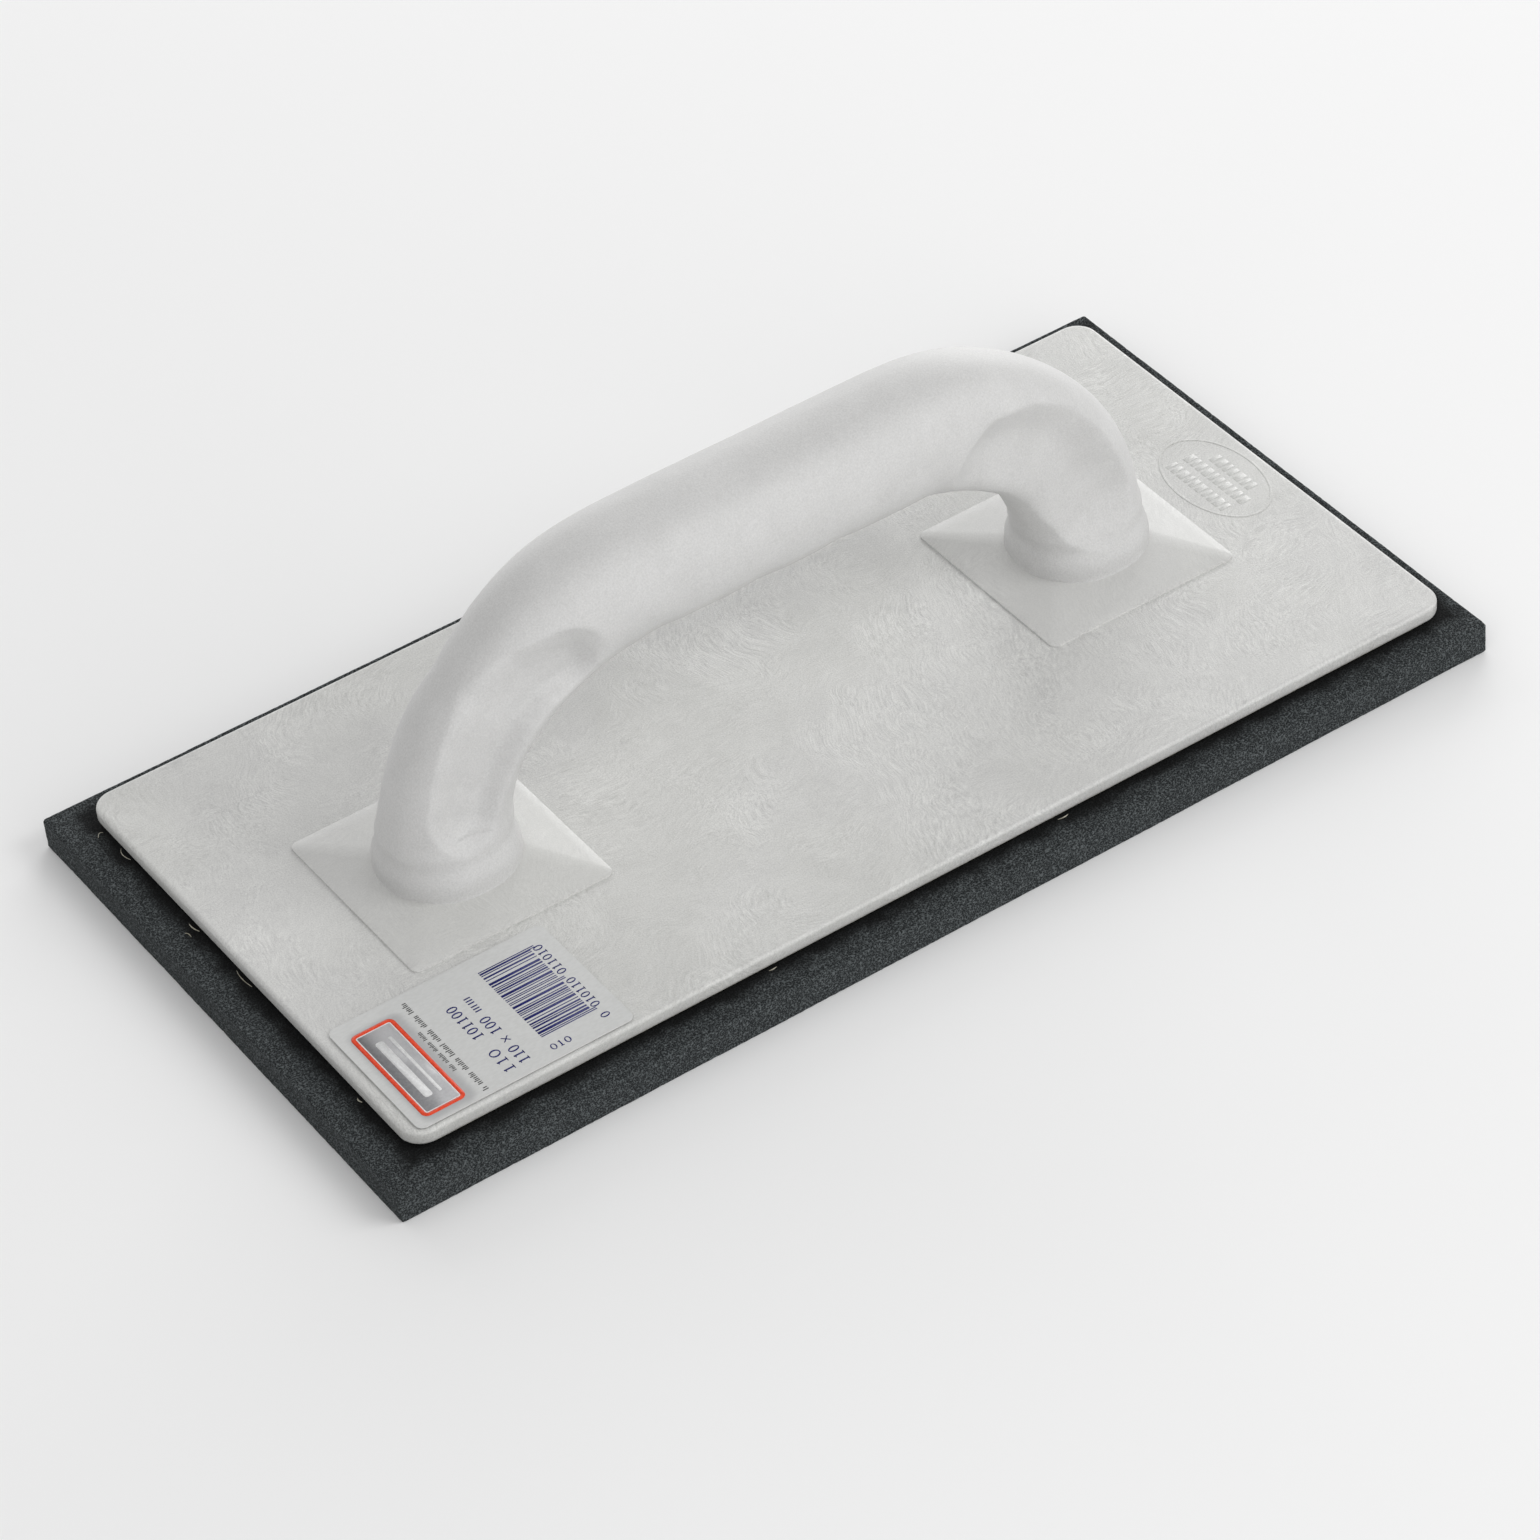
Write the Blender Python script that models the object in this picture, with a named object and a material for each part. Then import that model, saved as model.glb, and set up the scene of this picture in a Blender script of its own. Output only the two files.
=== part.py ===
"""Hand float: a moulded plastic board with a D handle and a cellular rubber sheet under it.

Units are metres and +Z is up. The origin is the middle of the rubber sheet's underside,
+X runs along the float, and the D handle stands in the XZ plane.
"""
import math

import bmesh
import bpy
import numpy as np
from mathutils import Matrix, Vector

# Fits
GAP = 0.0003                     # clearance left between two pieces that touch

# Rubber sheet
PAD_LENGTH = 0.2942
PAD_WIDTH = 0.1541
PAD_THICK = 0.0081

# Adhesive between the sheet and the board
FILM_THICK = 0.0002
FILM_INSET = 0.0010              # how far the film stays back from the board's edge

# Board, which is glued slightly off the middle of the sheet
BOARD_LENGTH = 0.280
BOARD_WIDTH = 0.140
BOARD_TOP = 0.0128               # height of the board's upper face
BOARD_SHIFT = (0.0020, 0.0011)
BOARD_CORNER = 0.0057
BOARD_EDGE = 0.0010              # rounding of the board's edges

# Plinths under the handle's feet
PLINTH_SIZE = (0.0522, 0.0540)
PLINTH_PLATEAU = (0.0280, 0.0216)  # smaller than the foot that stands on it
PLINTH_X = 0.0862                # distance from the board's middle
PLINTH_STEP = 0.0005             # upright edge of the plinth
PLINTH_RISE = 0.0028             # height of the plateau above the board
PLINTH_CORNER = 0.0020
PLATEAU_CORNER = 0.0040

# Label
LABEL_SIZE = (0.0550, 0.0385)
LABEL_PLACE = (-0.1098, -0.0497)  # from the board's middle
LABEL_THICK = 0.0002
LABEL_CORNER = 0.0020

# Handle. Each station gives the outer point of the left leg, the outer point of the right leg,
# the inner point of both and the half width; x is the distance from the handle's middle and z
# is the height above its feet. The left end leans in a little more than the right end.
STATIONS = (
    ((0.1032, 0.0000), (0.1032, 0.0000), (0.0703, 0.0000), 0.0159),   # sole of the foot
    ((0.1029, 0.0030), (0.1029, 0.0030), (0.0706, 0.0030), 0.0155),   # top of the toe
    ((0.1018, 0.0090), (0.1021, 0.0090), (0.0711, 0.0080), 0.0139),   # neck above the toe
    ((0.0991, 0.0200), (0.1004, 0.0200), (0.0692, 0.0160), 0.0125),
    ((0.0912, 0.0360), (0.0943, 0.0360), (0.0650, 0.0240), 0.0131),
    ((0.0766, 0.0519), (0.0793, 0.0538), (0.0563, 0.0309), 0.0133),   # corners
    ((0.0558, 0.0652), (0.0561, 0.0668), (0.0430, 0.0369), 0.0143),
    ((0.0320, 0.0686), (0.0320, 0.0689), (0.0280, 0.0383), 0.0148),   # ends of the straight grip
    ((0.0000, 0.0687), (0.0000, 0.0687), (0.0000, 0.0383), 0.0149),   # middle of the grip
)
SECTION_POWER = 2.25             # 2 is an ellipse, more is squarer
# Flute in each flank of each leg: centre x and z, radius and depth, from its round end down
FLUTE = (
    (0.0580, 0.0462, 0.0102, 0.0042),
    (0.0660, 0.0440, 0.0107, 0.0047),
    (0.0735, 0.0388, 0.0110, 0.0050),
    (0.0792, 0.0310, 0.0108, 0.0050),
    (0.0832, 0.0235, 0.0104, 0.0047),
    (0.0858, 0.0175, 0.0096, 0.0040),
)
FLUTE_POWER = 1.15               # how softly a flute starts at its rim
HANDLE_RINGS = 72                # sections along the handle
HANDLE_SIDES = 28                # corners of each section

# Screws that hold the handle, driven up through the board
SCREW_HEAD_RADIUS = 0.0052
SCREW_HEAD_HEIGHT = 0.0026
SCREW_SHANK_RADIUS = 0.0021
SCREW_GRIP = 0.0260              # length of shank inside the leg
SCREW_POINT = 0.0040
SOCKET_RADIUS = 0.0022           # hexagon recess in the head
SOCKET_DEPTH = 0.0014
ROUND_SIDES = 24

FOOT_X = (STATIONS[0][0][0] + STATIONS[0][2][0]) / 2
FILM_BASE = PAD_THICK + GAP
BOARD_BASE = FILM_BASE + FILM_THICK + GAP
PLATEAU_TOP = BOARD_TOP + PLINTH_RISE
HANDLE_BASE = PLATEAU_TOP + GAP
COUNTERBORE_RADIUS = SCREW_HEAD_RADIUS + 2 * GAP
COUNTERBORE_DEPTH = SCREW_HEAD_HEIGHT + GAP
SCREW_HEAD_TOP = BOARD_BASE + SCREW_HEAD_HEIGHT
SCREW_TIP = HANDLE_BASE + SCREW_GRIP


def clear_scene():
    for old in list(bpy.data.objects):
        bpy.data.objects.remove(old, do_unlink=True)


def make_material(name, color, roughness, metallic=0.0):
    material = bpy.data.materials.new(name)
    material.use_nodes = True
    shader = material.node_tree.nodes["Principled BSDF"]
    shader.inputs["Base Color"].default_value = (*color, 1.0)
    shader.inputs["Roughness"].default_value = roughness
    shader.inputs["Metallic"].default_value = metallic
    return material


def add_object(name, bm, material=None, parent=None):
    """Turn a bmesh into a named object whose faces point out."""
    bmesh.ops.recalc_face_normals(bm, faces=bm.faces)
    mesh = bpy.data.meshes.new(name)
    bm.to_mesh(mesh)
    bm.free()
    thing = bpy.data.objects.new(name, mesh)
    bpy.context.scene.collection.objects.link(thing)
    if material is not None:
        mesh.materials.append(material)
    if parent is not None:
        thing.parent = parent
    return thing


def add_helper(name, bm, parent=None):
    """A shape that only takes part in a Boolean."""
    helper = add_object(name, bm, parent=parent)
    helper.hide_render = True
    helper.display_type = "WIRE"
    return helper


def add_boolean(thing, helper, operation):
    modifier = thing.modifiers.new(helper.name, "BOOLEAN")
    modifier.operation = operation
    modifier.solver = "EXACT"
    modifier.object = helper


def rounded_outline(length, width, radius, steps):
    """Corner-rounded rectangle about the origin, anticlockwise, as (x, y) pairs."""
    outline = []
    for quarter in range(4):
        start = quarter * math.pi / 2
        side_x = 1 if quarter in (0, 3) else -1
        side_y = 1 if quarter in (0, 1) else -1
        centre_x = side_x * (length / 2 - radius)
        centre_y = side_y * (width / 2 - radius)
        for step in range(steps + 1):
            angle = start + step / steps * math.pi / 2
            outline.append((centre_x + radius * math.cos(angle), centre_y + radius * math.sin(angle)))
    return outline


def loft(rings):
    """Closed solid through rings that have the same number of corners, with flat ends."""
    bm = bmesh.new()
    loops = [[bm.verts.new(point) for point in ring] for ring in rings]
    count = len(loops[0])
    for low, high in zip(loops, loops[1:]):
        for i in range(count):
            j = (i + 1) % count
            bm.faces.new((low[i], low[j], high[j], high[i]))
    bm.faces.new(list(reversed(loops[0])))
    bm.faces.new(loops[-1])
    return bm


def plate(length, width, radius, low, high, steps=4, edge=0.0):
    """Rounded plate from low to high, with its upper edge rounded off by edge."""
    rings = []
    levels = [(0.0, low), (0.0, high)]
    if edge > 0:
        levels = [(0.0, low)]
        for step in range(4):
            angle = step / 3 * math.pi / 2
            levels.append((edge * (1 - math.cos(angle)), high - edge * (1 - math.sin(angle))))
    for inset, height in levels:
        outline = rounded_outline(length - 2 * inset, width - 2 * inset, radius - inset, steps)
        rings.append([(x, y, height) for x, y in outline])
    return loft(rings)


def cylinder(radius, low, high, x, sides=ROUND_SIDES):
    rings = []
    for height in (low, high):
        angles = [side / sides * 2 * math.pi for side in range(sides)]
        rings.append([(x + radius * math.cos(a), radius * math.sin(a), height) for a in angles])
    return loft(rings)


def natural_spline(knots, values, samples):
    """Natural cubic spline through values at knots, read at samples; one column per value."""
    knots = np.asarray(knots, float)
    values = np.asarray(values, float)
    count = len(knots)
    step = np.diff(knots)
    system = np.eye(count)
    right = np.zeros_like(values)
    for i in range(1, count - 1):
        system[i, i - 1:i + 2] = step[i - 1], 2 * (step[i - 1] + step[i]), step[i]
        right[i] = 6 * ((values[i + 1] - values[i]) / step[i] - (values[i] - values[i - 1]) / step[i - 1])
    bend = np.linalg.solve(system, right)
    cell = np.clip(np.searchsorted(knots, samples) - 1, 0, count - 2)
    before = (samples - knots[cell])[:, None]
    after = (knots[cell + 1] - samples)[:, None]
    width = step[cell][:, None]
    curve = (bend[cell] * after ** 3 + bend[cell + 1] * before ** 3) / (6 * width)
    curve += (values[cell] / width - bend[cell] * width / 6) * after
    curve += (values[cell + 1] / width - bend[cell + 1] * width / 6) * before
    return curve


def handle_sections(rings):
    """Outer point, inner point and half width at even steps from one foot to the other."""
    left = [(-lo[0], lo[1], -inner[0], inner[1], width) for lo, ro, inner, width in STATIONS]
    right = [(*ro, *inner, width) for lo, ro, inner, width in STATIONS]
    rows = np.array(left[:-1] + right[::-1])
    middle = (rows[:, 0:2] + rows[:, 2:4]) / 2
    knots = np.r_[0, np.cumsum(np.linalg.norm(np.diff(middle, axis=0), axis=1))]
    return natural_spline(knots, rows, np.linspace(0, knots[-1], rings))


def flute_depth(x, z):
    """Depth of the flute at a point of a leg's flank, in side view."""
    point = np.array([abs(x), z])
    deepest = 0.0
    for start, end in zip(FLUTE, FLUTE[1:]):
        a, b = np.array(start), np.array(end)
        run = b[:2] - a[:2]
        along = float(np.clip(np.dot(point - a[:2], run) / np.dot(run, run), 0, 1))
        here = a + along * (b - a)
        reach = np.linalg.norm(point - here[:2]) / here[2]
        deepest = max(deepest, here[3] * max(0.0, 1 - reach ** 2) ** FLUTE_POWER)
    return deepest


def signed_power(value, power):
    return math.copysign(abs(value) ** power, value)


def make_handle(parent, material):
    rings = []
    for outer_x, outer_z, inner_x, inner_z, half_width in handle_sections(HANDLE_RINGS):
        ring = []
        for side in range(HANDLE_SIDES):
            angle = (side + 0.5) / HANDLE_SIDES * 2 * math.pi
            across = signed_power(math.sin(angle), 2 / SECTION_POWER)
            out = signed_power(math.cos(angle), 2 / SECTION_POWER)
            x = (outer_x + inner_x) / 2 + (outer_x - inner_x) / 2 * across
            z = (outer_z + inner_z) / 2 + (outer_z - inner_z) / 2 * across
            y = out * half_width
            y -= math.copysign(min(flute_depth(x, z), abs(y) / 2), y)
            ring.append((x, y, z))
        rings.append(ring)
    handle = add_object("handle", loft(rings), material, parent)
    handle.data.shade_smooth()
    handle.data.set_sharp_from_angle(angle=math.radians(50))
    for side in (-1, 1):
        bore = cylinder(SCREW_SHANK_RADIUS + GAP, -GAP, SCREW_GRIP + GAP, side * FOOT_X)
        name = "pilot_left" if side < 0 else "pilot_right"
        add_boolean(handle, add_helper(name, bore, parent), "DIFFERENCE")
    return handle


def plinth_solid(x):
    """Low four-sided plinth with an upright edge, sloping sides and a flat plateau."""
    levels = (
        (PLINTH_SIZE, PLINTH_CORNER, BOARD_TOP - BOARD_EDGE),
        (PLINTH_SIZE, PLINTH_CORNER, BOARD_TOP + PLINTH_STEP),
        (PLINTH_PLATEAU, PLATEAU_CORNER, PLATEAU_TOP),
    )
    rings = []
    for (length, width), radius, height in levels:
        rings.append([(x + px, py, height) for px, py in rounded_outline(length, width, radius, 3)])
    return loft(rings)


def make_board(parent, material):
    bm = plate(BOARD_LENGTH, BOARD_WIDTH, BOARD_CORNER, BOARD_BASE, BOARD_TOP, 6, BOARD_EDGE)
    board = add_object("board", bm, material, parent)
    for side, end in ((-1, "left"), (1, "right")):
        plinth = add_helper("plinth_" + end, plinth_solid(side * PLINTH_X), parent)
        add_boolean(board, plinth, "UNION")
    for side, end in ((-1, "left"), (1, "right")):
        x = side * FOOT_X
        clearance = cylinder(SCREW_SHANK_RADIUS + GAP, BOARD_BASE - GAP, PLATEAU_TOP + GAP, x)
        add_boolean(board, add_helper("clearance_" + end, clearance, parent), "DIFFERENCE")
        low, high = BOARD_BASE - GAP, BOARD_BASE + COUNTERBORE_DEPTH
        pocket = cylinder(COUNTERBORE_RADIUS, low, high, x)
        add_boolean(board, add_helper("counterbore_" + end, pocket, parent), "DIFFERENCE")
    return board


def make_screw(name, x, parent, material):
    """Turned screw, head down, with a hexagon recess in its head."""
    shank, head = SCREW_SHANK_RADIUS, SCREW_HEAD_RADIUS
    profile = (
        (head * 0.86, BOARD_BASE),
        (head, BOARD_BASE + SCREW_HEAD_HEIGHT * 0.35),
        (head, SCREW_HEAD_TOP),
        (shank, SCREW_HEAD_TOP),
        (shank, SCREW_TIP - SCREW_POINT),
        (shank * 0.2, SCREW_TIP),
    )
    rings = []
    for radius, height in profile:
        angles = [side / ROUND_SIDES * 2 * math.pi for side in range(ROUND_SIDES)]
        rings.append([(radius * math.cos(a), radius * math.sin(a), height) for a in angles])
    screw = add_object(name, loft(rings), material, parent)
    screw.location.x = x
    screw.data.shade_smooth()
    screw.data.set_sharp_from_angle(angle=math.radians(40))
    socket = cylinder(SOCKET_RADIUS, BOARD_BASE - GAP, BOARD_BASE + SOCKET_DEPTH, x, 6)
    add_boolean(screw, add_helper(name + "_socket", socket, parent), "DIFFERENCE")
    return screw


def make_flat_pieces(frame, rubber, glue, paper):
    """The three sheets: rubber, adhesive and label."""
    pad = bmesh.new()
    size = Vector((PAD_LENGTH, PAD_WIDTH, PAD_THICK))
    place = Matrix.Translation((0, 0, PAD_THICK / 2)) @ Matrix.Diagonal((*size, 1))
    bmesh.ops.create_cube(pad, size=1, matrix=place)
    add_object("rubber_pad", pad, rubber)
    film = plate(
        BOARD_LENGTH - 2 * FILM_INSET,
        BOARD_WIDTH - 2 * FILM_INSET,
        BOARD_CORNER - FILM_INSET,
        FILM_BASE,
        FILM_BASE + FILM_THICK,
    )
    add_object("adhesive_film", film, glue, frame)
    low = BOARD_TOP + GAP
    label = add_object("label", plate(*LABEL_SIZE, LABEL_CORNER, low, low + LABEL_THICK), paper, frame)
    label.location.xy = LABEL_PLACE


def main():
    clear_scene()
    plastic = make_material("grey_plastic", (0.56, 0.56, 0.53), 0.55)
    grip_plastic = make_material("grip_plastic", (0.52, 0.52, 0.51), 0.50)
    rubber = make_material("cellular_rubber", (0.045, 0.050, 0.047), 0.90)
    glue = make_material("dried_glue", (0.62, 0.55, 0.38), 0.35)
    paper = make_material("label_paper", (0.62, 0.62, 0.60), 0.45)
    steel = make_material("zinc_steel", (0.70, 0.71, 0.72), 0.35, 1.0)

    frame = bpy.data.objects.new("board_frame", None)
    bpy.context.scene.collection.objects.link(frame)
    frame.location = (*BOARD_SHIFT, 0)
    feet = bpy.data.objects.new("handle_frame", None)
    bpy.context.scene.collection.objects.link(feet)
    feet.parent = frame
    feet.location = (0, 0, HANDLE_BASE)

    make_board(frame, plastic)
    make_handle(feet, grip_plastic)
    make_screw("handle_screw_left", -FOOT_X, frame, steel)
    make_screw("handle_screw_right", FOOT_X, frame, steel)
    make_flat_pieces(frame, rubber, glue, paper)


main()
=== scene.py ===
"""Looks of the hand float: moulded board, D handle, label, glue and cellular rubber sheet.

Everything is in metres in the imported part's frame: +X along the float, +Z up, and the origin
in the middle of the rubber sheet's underside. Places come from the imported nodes' boxes.
"""
import math

import bpy
import numpy as np
from mathutils import Matrix, Vector, noise


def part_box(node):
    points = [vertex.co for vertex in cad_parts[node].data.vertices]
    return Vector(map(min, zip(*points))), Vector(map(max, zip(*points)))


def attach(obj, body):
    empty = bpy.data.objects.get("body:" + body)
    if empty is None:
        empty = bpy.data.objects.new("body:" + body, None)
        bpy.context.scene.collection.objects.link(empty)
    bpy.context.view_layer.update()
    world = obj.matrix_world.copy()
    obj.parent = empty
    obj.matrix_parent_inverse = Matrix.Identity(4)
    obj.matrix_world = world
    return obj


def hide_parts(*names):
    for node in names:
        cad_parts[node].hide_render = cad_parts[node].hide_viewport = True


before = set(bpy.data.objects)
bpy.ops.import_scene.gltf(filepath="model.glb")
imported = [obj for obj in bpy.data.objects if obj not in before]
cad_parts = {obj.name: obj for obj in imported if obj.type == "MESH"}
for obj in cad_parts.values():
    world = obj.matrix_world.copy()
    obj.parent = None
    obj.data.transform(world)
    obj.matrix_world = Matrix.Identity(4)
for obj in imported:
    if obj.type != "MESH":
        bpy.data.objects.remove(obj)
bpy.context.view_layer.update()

PAD_LOW, PAD_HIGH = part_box("rubber_pad")
BOARD_LOW, BOARD_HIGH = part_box("board")
FILM_LOW, FILM_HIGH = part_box("adhesive_film")
LABEL_LOW, LABEL_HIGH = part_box("label")
HANDLE_LOW, HANDLE_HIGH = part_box("handle")
MIDDLE_X = (BOARD_LOW.x + BOARD_HIGH.x) / 2      # the board's middle, which is also the handle's
MIDDLE_Y = (BOARD_LOW.y + BOARD_HIGH.y) / 2
LABEL_MIDDLE = ((LABEL_LOW.x + LABEL_HIGH.x) / 2, (LABEL_LOW.y + LABEL_HIGH.y) / 2)
BOARD_LENGTH = BOARD_HIGH.x - BOARD_LOW.x
BOARD_WIDTH = BOARD_HIGH.y - BOARD_LOW.y
PAD_LENGTH = PAD_HIGH.x - PAD_LOW.x
PAD_WIDTH = PAD_HIGH.y - PAD_LOW.y

# Board and plinths
BOARD_CORNER = 0.0057
BOARD_EDGE = 0.0010              # rounding of the upper edge
BOARD_FOOT_EDGE = 0.0010         # rounding of the lower edge
BOARD_CORNER_STEPS = 16
PLINTH_SIZE = (0.0522, 0.0540)
PLINTH_PLATEAU = (0.0280, 0.0216)
PLINTH_X = 0.0862                # distance from the board's middle
PLINTH_STEP = 0.0005             # upright edge of the plinth
PLINTH_LIP = 0.00015             # rounding at the top of that edge
PLINTH_RISE = 0.0028             # height of the plateau above the board
PLINTH_SLOPE = (0.02, 0.2, 0.4, 0.6, 0.8, 0.95)   # places of the rings on the slopes
PLINTH_CORNER = 0.0020
PLATEAU_CORNER = 0.0040
BOARD_TOP = BOARD_HIGH.z - PLINTH_RISE
OVAL_SUNK = 0.0003               # how far the oval line reaches down into the board
BAR_SUNK = 0.0002                # and the bars
BAR_CORNER = 0.0002

# Raised oval with blank bars at the board's end
OVAL_PLACE = (0.1268, -0.0005)
OVAL_HALF = (0.0103, 0.0168)
OVAL_RIDGE = (0.00040, 0.00014)  # half width and height
OVAL_POINTS = 128
OVAL_BAR = (0.0032, 0.00007)     # size along X and rise of the bars in the oval
OVAL_BAR_LENGTHS = (0.0012, 0.0020, 0.0015)
OVAL_BAR_SPACE = 0.0007
OVAL_LINES = (                   # X from the oval's middle, lowest and highest Y of each row
    (-0.0050, -0.0108, 0.0104),
    (0.0000, -0.0118, 0.0102),
    (0.0046, -0.0086, 0.0064),
)

# Handle. Each station gives the outer point of the left leg, the outer point of the right leg,
# the inner point of both and the half width; x is the distance from the handle's middle and z
# is the height above its feet.
STATIONS = (
    ((0.1032, 0.0000), (0.1032, 0.0000), (0.0703, 0.0000), 0.0159),   # sole of the foot
    ((0.1029, 0.0030), (0.1029, 0.0030), (0.0706, 0.0030), 0.0155),   # top of the toe
    ((0.1018, 0.0090), (0.1021, 0.0090), (0.0711, 0.0080), 0.0139),   # neck above the toe
    ((0.0991, 0.0200), (0.1004, 0.0200), (0.0692, 0.0160), 0.0125),
    ((0.0912, 0.0360), (0.0943, 0.0360), (0.0650, 0.0240), 0.0131),
    ((0.0766, 0.0519), (0.0793, 0.0538), (0.0563, 0.0309), 0.0133),   # corners
    ((0.0558, 0.0652), (0.0561, 0.0668), (0.0430, 0.0369), 0.0143),
    ((0.0320, 0.0686), (0.0320, 0.0689), (0.0280, 0.0383), 0.0148),   # ends of the straight grip
    ((0.0000, 0.0687), (0.0000, 0.0687), (0.0000, 0.0383), 0.0149),   # middle of the grip
)
SECTION_POWER = 2.25             # 2 is an ellipse, more is squarer
FOOT_X = (STATIONS[0][0][0] + STATIONS[0][2][0]) / 2
FLUTE = (                        # centre x and z, radius and depth
    (0.0580, 0.0462, 0.0102, 0.0042),
    (0.0660, 0.0440, 0.0107, 0.0047),
    (0.0735, 0.0388, 0.0110, 0.0050),
    (0.0792, 0.0310, 0.0108, 0.0050),
    (0.0832, 0.0235, 0.0104, 0.0047),
    (0.0858, 0.0175, 0.0096, 0.0040),
)
FLUTE_POWER = 1.15               # how softly a flute starts at its rim
FLUTE_OPEN = 0.2                 # how much wider the right leg's flutes are towards the inside
FLUTE_WALL = (0.30, 0.84)        # foot and rim of the left leg's steep inner wall, in radii
# Rings round each foot: height above the sole, spread up and down, swell
FOOT_RINGS = (
    (0.0026, 0.0022, 0.0002),    # toe
    (0.0064, 0.0020, -0.0003),   # hollow above the toe
    (0.0096, 0.0018, 0.0002),    # lip under the flute
)
GROOVES = (-0.032, -0.006, 0.015, 0.039)   # x of the finger grooves under the grip
GROOVE_WIDTH = 0.0085
GROOVE_DEPTH = 0.0006
GROOVE_FADE = (0.033, 0.004)     # height where the grooves begin and the rise to their full depth
FOOT_SKIRT = (-0.0014, -0.0010, -0.0007, -0.0004, -0.0002)   # levels down to the plinth's slopes
FOOT_FILLET = (0.0002, 0.0010)   # size and height of the fillet round each foot
FILLET_POWER = 2.5
HANDLE_RINGS = 260
FOOT_FINE = (0.012, 0.0003)      # length of the finely cut feet and step there
HANDLE_SIDES = 144
TINY = 1e-9                      # keeps a division clear of zero

# Rubber sheet
PAD_CORNER = 0.0006
PAD_EDGE = 0.0004
PAD_SPACING = 0.0007
PAD_FINE_BAND = 0.0120           # width of the finely meshed border
PAD_COARSE = 0.004               # spacing of the rings in the plain middle
PAD_REACH = 0.070                # how far in the last ring may lie
UNDERSIDE, BORDER, TOP_SIDE, PLAIN = range(4)     # kinds of ring
PORE_SIZE = 0.0013
PORE_DEPTH = 0.00016
FINE_PORES = (2.3, 0.6)          # how much smaller and shallower the fine pores are
CUT_WAVE = 0.00022
CUT_WAVE_SCALE = (60, 60, 110)   # waves along the cut, per metre

# Strands of glue on the sheet: start, turning point, end, height of the arc and relative thickness
STRANDS = (
    ((-0.1384, 0.0640), (-0.1394, 0.0645), (-0.1402, 0.0631), 0.0003, 0.9),
    ((-0.1379, 0.0567), (-0.1396, 0.0545), (-0.1381, 0.0520), 0.0002, 0.8),
    ((-0.1409, 0.0229), (-0.1402, 0.0222), (-0.1404, 0.0209), 0.0001, 1.3),
    ((-0.1386, 0.0250), (-0.1390, 0.0230), (-0.1380, 0.0214), 0.0001, 1.5),
    ((-0.1381, 0.0050), (-0.1390, 0.0020), (-0.1381, -0.0016), 0.0001, 1.1),
    ((-0.1382, -0.0462), (-0.1388, -0.0470), (-0.1381, -0.0479), 0.0001, 1.6),
    ((0.0310, -0.0690), (0.0325, -0.0697), (0.0338, -0.0690), 0.0001, 1.2),
    ((-0.0470, -0.0690), (-0.0462, -0.0695), (-0.0450, -0.0690), 0.0001, 1.2),
)
STRAND_RADIUS = 0.00010
STRAND_ENDS = 0.45               # thickness at a strand's ends, as a share
STRAND_STEPS = 14
STRAND_SIDES = 8

# Camera, at the photograph's viewing angle
CAMERA_PLACE = (-0.531418, -0.894909, 0.892883)
CAMERA_RIGHT = (0.822424, -0.563809, -0.075755)
CAMERA_UP = (0.417949, 0.508508, 0.752820)
CAMERA_LENS = 140.349
CAMERA_SENSOR = 36.0
CAMERA_CLIP = (0.01, 20)

# Studio, with each softbox's name, direction round the float and above it in degrees, and watts
WORLD_STRENGTH = 0.51
SOFTBOXES = (
    ("behind", 45, 12, 13.0),
    ("back", 90, 12, 6.5),
    ("right", 315, 38, 8.7),
    ("front", 270, 12, 4.2),
    ("left", 225, 38, 3.3),
)
SOFTBOX_DISTANCE = 1.6
SOFTBOX_SIZE = 1.0
FLOOR_HALF = 6.0
FLOOR_TOP = -0.00005                 # just clear of the rubber sheet

# Colours
BOARD_WARM_DARK = (0.462, 0.462, 0.446, 1)
BOARD_COOL_DARK = (0.462, 0.460, 0.454, 1)
BOARD_PALE = (0.720, 0.720, 0.700, 1)
HANDLE_DARK = (0.478, 0.476, 0.470, 1)
HANDLE_PALE = (0.722, 0.719, 0.712, 1)
CELL_DARK = (0.012, 0.014, 0.015, 1)
CELL_PALE = (0.128, 0.142, 0.146, 1)
# painted shade on the sheet's top beside the board
PAD_SHADE = (0.004, 0.004, 0.004, 1)
GLUE_DARK = (0.30, 0.28, 0.22, 1)
GLUE_PALE = (0.62, 0.59, 0.49, 1)
FILM_DARK = (0.585, 0.590, 0.580, 1)
FILM_PALE = (0.625, 0.630, 0.622, 1)
PRINT_SHADOW = (0.30, 0.30, 0.31, 1)
ZINC_DARK = (0.56, 0.57, 0.58, 1)
ZINC_PALE = (0.78, 0.78, 0.76, 1)
FLOOR_DARK = (0.90, 0.90, 0.90, 1)
FLOOR_PALE = (0.92, 0.92, 0.92, 1)
BADGE_DARK = (0.20, 0.20, 0.21, 1)
BADGE_PALE = (0.52, 0.52, 0.53, 1)
# Inks, with the name, dark and pale tone and roughness of each
BLUE_INK = ("ink_blue", (0.001, 0.004, 0.105), (0.004, 0.010, 0.150), 0.50)
BLACK_INK = ("ink_black", (0.03, 0.03, 0.03), (0.07, 0.07, 0.07), 0.4)
RED_INK = ("ink_red", (0.72, 0.055, 0.018), (0.84, 0.085, 0.030), 0.3)
PALE_INK = ("ink_pale", (0.72, 0.72, 0.72), (0.84, 0.84, 0.84), 0.3)

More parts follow.
